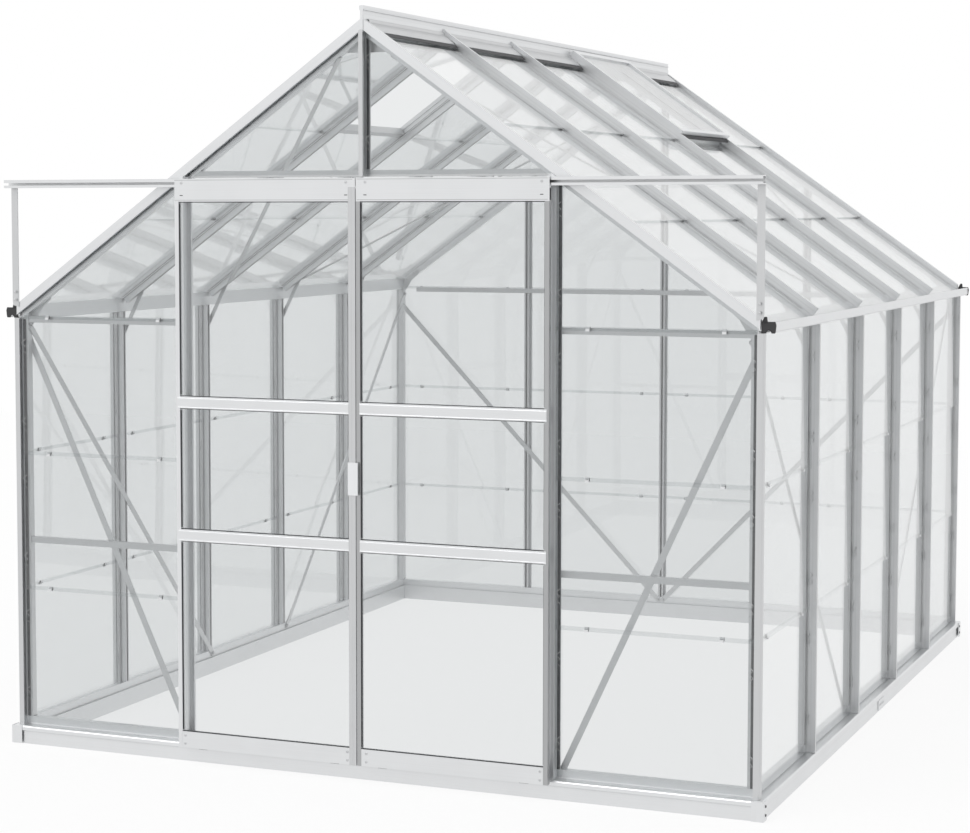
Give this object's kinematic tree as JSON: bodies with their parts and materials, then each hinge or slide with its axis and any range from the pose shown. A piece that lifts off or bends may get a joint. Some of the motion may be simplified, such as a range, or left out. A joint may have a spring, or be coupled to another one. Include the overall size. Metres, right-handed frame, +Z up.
{
  "type": "glass greenhouse",
  "caption": "Gable-roofed glass greenhouse with an aluminium frame, lapped panes, roof vents and a pair of sliding doors on an overhead track.",
  "frame": {"origin": "centre of the building's footprint at ground level, the bottom centre of the overall box", "axes": "+Z up, the doors face -Y, +X to the right seen from the front"},
  "size_m": [2.568, 3.2016, 2.3705],
  "materials": {
    "outer_aluminium": "mill-finish extrusion, pale satin",
    "bar_aluminium": "mill-finish extrusion, satin",
    "glass": "clear horticultural glass",
    "seal": "matt black glazing strip",
    "end_cap": "black moulded plastic",
    "roller": "black nylon",
    "handle": "pale grey moulded plastic"
  },
  "bodies": {
    "frame": {"back_eave_bar": "bar_aluminium", "back_wall_bars": "bar_aluminium", "back_wall_glass": "glass", "base_back": "outer_aluminium", "base_corners": "bar_aluminium", "base_front": "outer_aluminium", "base_left": "outer_aluminium", "base_right": "outer_aluminium", "corner_posts": "outer_aluminium", "door_header": "bar_aluminium", "door_jambs": "bar_aluminium", "door_track": "bar_aluminium", "eave_struts": "bar_aluminium", "front_cross_bars": "bar_aluminium", "front_gable_bar": "bar_aluminium", "front_wall_glass": "glass", "gable_rafters": "outer_aluminium", "gusset_plates": "bar_aluminium", "gutter_end_caps": "end_cap", "left_gutter": "outer_aluminium", "left_roof_glass": "glass", "left_wall_glass": "glass", "ridge_beam": "outer_aluminium", "right_gutter": "outer_aluminium", "right_roof_glass": "glass", "right_wall_glass": "glass", "roof_bars": "bar_aluminium", "roof_braces": "bar_aluminium", "roof_seals": "seal", "side_wall_bars": "bar_aluminium", "track_hangers": "bar_aluminium", "vent_frames": "bar_aluminium", "vent_glass": "glass", "vent_sills": "bar_aluminium", "vent_stays": "bar_aluminium", "wall_braces": "bar_aluminium", "wall_seals": "seal"},
    "left_door": {"left_door_glass": "glass", "left_door_rails": "outer_aluminium", "left_door_rollers": "roller", "left_door_stiles": "bar_aluminium", "door_handle": "handle"},
    "right_door": {"right_door_glass": "glass", "right_door_rails": "outer_aluminium", "right_door_rollers": "roller", "right_door_stiles": "bar_aluminium"}
  },
  "joints": [
    {"name": "left_door_slide", "type": "slide", "parent": "frame", "child": "left_door", "axis": [-1, 0, 0], "range_m": [0, 0.6]},
    {"name": "right_door_slide", "type": "slide", "parent": "frame", "child": "right_door", "axis": [1, 0, 0], "range_m": [0, 0.6]}
  ]
}
